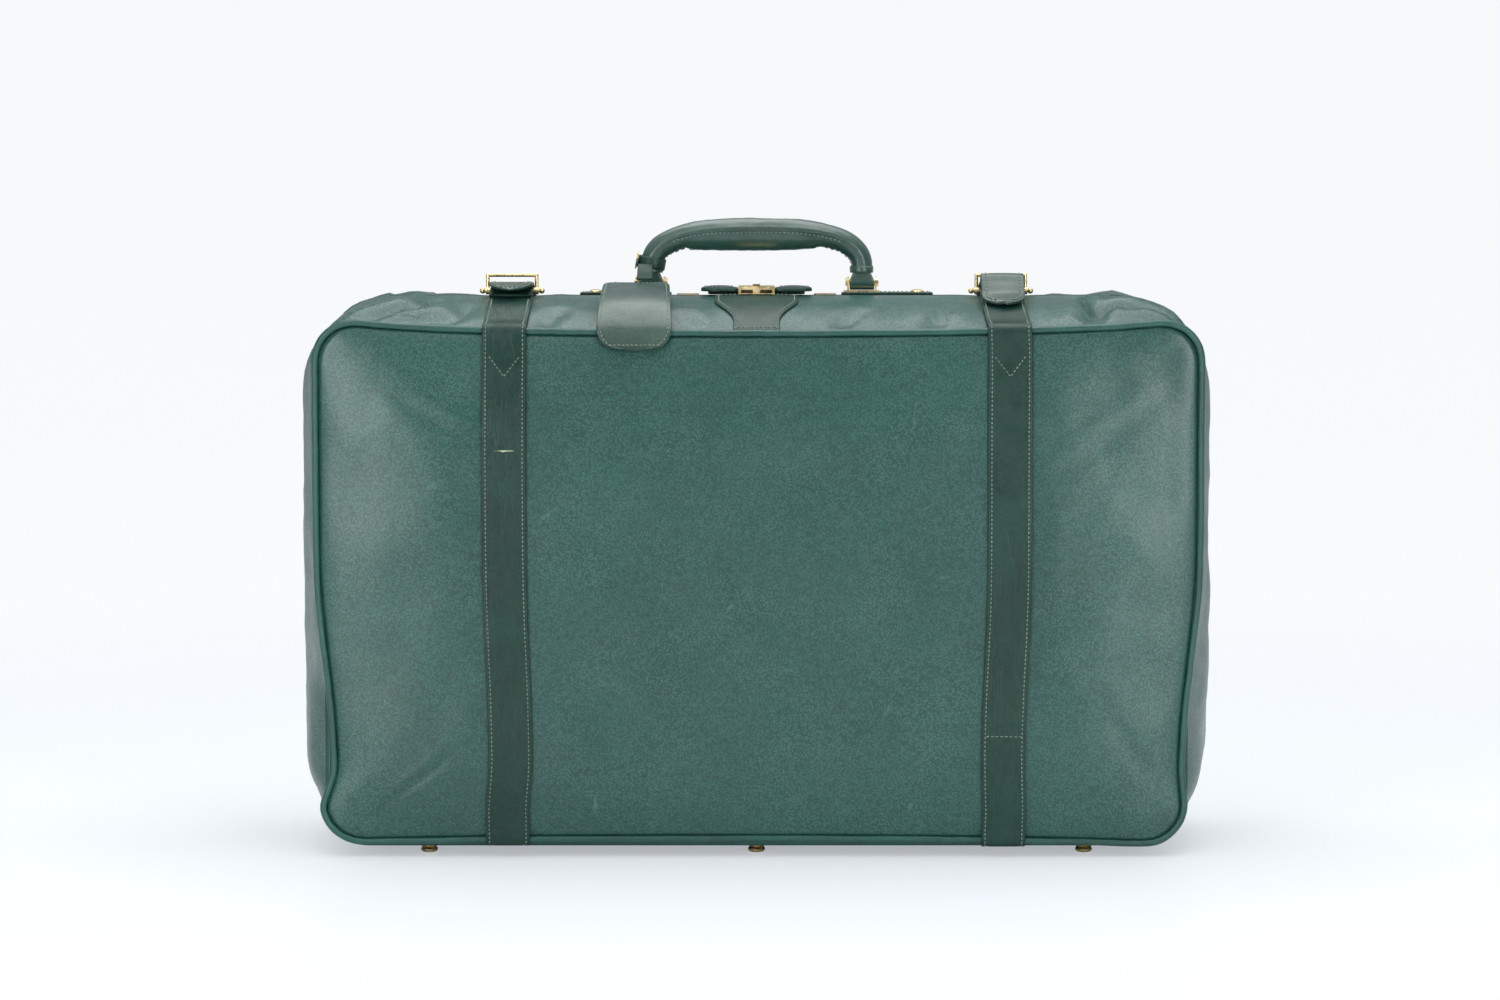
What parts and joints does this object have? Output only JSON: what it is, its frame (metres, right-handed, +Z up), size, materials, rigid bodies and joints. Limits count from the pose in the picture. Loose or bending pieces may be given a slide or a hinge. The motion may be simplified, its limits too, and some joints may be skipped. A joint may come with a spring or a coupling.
{
  "type": "soft-sided travel case",
  "caption": "Soft-sided leather travel case that opens along a zip, with straps over both halves, a carrying handle, a lock and a luggage tag.",
  "frame": {"origin": "centre of the box that holds the case, at the floor its feet stand on", "axes": "+X along the width to the right, -Y the front panel, +Z up"},
  "size_m": [0.6988, 0.208, 0.4804],
  "materials": {
    "body_leather": "pebble grained",
    "trim_leather": "smooth, polished",
    "brass": "polished, light wear",
    "steel": "plain",
    "foam": "soft wadding",
    "board": "pressed fibre board",
    "lining": "woven cotton",
    "zip_tape": "woven tape",
    "card": "plain card"
  },
  "bodies": {
    "rear_half": {"rear_panel": "body_leather", "rear_gusset": "body_leather", "rear_piping": "trim_leather", "rear_padding": "foam", "rear_board": "board", "rear_frame": "steel", "rear_lining": "lining", "rear_zip_tape": "zip_tape", "rear_zip_teeth": "brass", "rear_hinge_strip": "trim_leather", "rear_strap_left": "trim_leather", "rear_strap_right": "trim_leather", "rear_feet": "brass", "handle_base_left": "trim_leather", "handle_base_right": "trim_leather", "handle_bracket_left": "brass", "handle_bracket_right": "brass", "handle_pin_left": "brass", "handle_pin_right": "brass", "base_studs": "brass", "lock_saddle": "trim_leather", "lock_case": "brass", "tag_tongue": "trim_leather"},
    "front_half": {"front_panel": "body_leather", "front_gusset": "body_leather", "front_piping": "trim_leather", "front_padding": "foam", "front_board": "board", "front_frame": "steel", "front_lining": "lining", "front_zip_tape": "zip_tape", "front_zip_teeth": "brass", "front_hinge_strip": "trim_leather", "front_strap_left": "trim_leather", "front_strap_right": "trim_leather", "front_feet": "brass", "buckle_bar_left": "brass", "buckle_bar_right": "brass", "lock_catch": "brass", "lock_patch": "trim_leather"},
    "buckle_left": {"buckle_frame_left": "brass"},
    "buckle_right": {"buckle_frame_right": "brass"},
    "tip_left": {"strap_tip_left": "trim_leather"},
    "tip_right": {"strap_tip_right": "trim_leather"},
    "slider_left": {"zip_slider_left": "brass"},
    "slider_right": {"zip_slider_right": "brass"},
    "pull_left": {"zip_pull_left": "brass"},
    "pull_right": {"zip_pull_right": "brass"},
    "lock_thumb": {"lock_slide": "brass"},
    "handle": {"handle_end_left": "trim_leather", "handle_end_right": "trim_leather", "handle_grip": "trim_leather", "handle_core": "steel", "tag_strap_loop": "trim_leather", "tag_buckle": "brass"},
    "tag": {"tag_back": "trim_leather", "tag_card": "card", "tag_front": "trim_leather"}
  },
  "joints": [
    {"name": "lid_hinge", "type": "hinge", "parent": "rear_half", "child": "front_half", "pos_m": [0, 0, 0.0052], "axis": [1, 0, 0], "range_deg": [0, 160], "deforming": ["tag_back", "tag_card", "tag_front", "strap_tip_left", "strap_tip_right"]},
    {"name": "handle_swing", "type": "hinge", "parent": "rear_half", "child": "handle", "pos_m": [0, 0.024, 0.43156], "axis": [-1, 0, 0], "range_deg": [-60, 80], "deforming": ["tag_tongue"]},
    {"name": "tag_lift", "type": "hinge", "parent": "rear_half", "child": "tag", "pos_m": [-0.092, -0.0205, 0.4315], "axis": [-1, 0, 0], "range_deg": [0, 100], "deforming": ["tag_tongue"]},
    {"name": "zip_slide_left", "type": "slide", "parent": "rear_half", "child": "slider_left", "axis": [-1, 0, 0], "range_m": [0, 0.105]},
    {"name": "pull_lift_left", "type": "hinge", "parent": "slider_left", "child": "pull_left", "pos_m": [-0.0455, 0, 0.42252], "axis": [0, 1, 0], "range_deg": [0, 90]},
    {"name": "buckle_tilt_left", "type": "hinge", "parent": "front_half", "child": "buckle_left", "pos_m": [-0.188, -0.01, 0.42611], "axis": [1, 0, 0], "range_deg": [-38, 38]},
    {"name": "strap_tip_left", "type": "hinge", "parent": "rear_half", "child": "tip_left", "pos_m": [-0.188, -0.0144, 0.43011], "axis": [-1, 0, 0], "range_deg": [0, 45]},
    {"name": "zip_slide_right", "type": "slide", "parent": "rear_half", "child": "slider_right", "axis": [1, 0, 0], "range_m": [0, 0.105]},
    {"name": "pull_lift_right", "type": "hinge", "parent": "slider_right", "child": "pull_right", "pos_m": [0.0455, 0, 0.42252], "axis": [0, -1, 0], "range_deg": [0, 90]},
    {"name": "buckle_tilt_right", "type": "hinge", "parent": "front_half", "child": "buckle_right", "pos_m": [0.188, -0.01, 0.42611], "axis": [1, 0, 0], "range_deg": [-38, 38]},
    {"name": "strap_tip_right", "type": "hinge", "parent": "rear_half", "child": "tip_right", "pos_m": [0.188, -0.0144, 0.43011], "axis": [-1, 0, 0], "range_deg": [0, 45]},
    {"name": "lock_thumb", "type": "slide", "parent": "rear_half", "child": "lock_thumb", "axis": [0, -1, 0], "range_m": [0, 0.0048]}
  ]
}
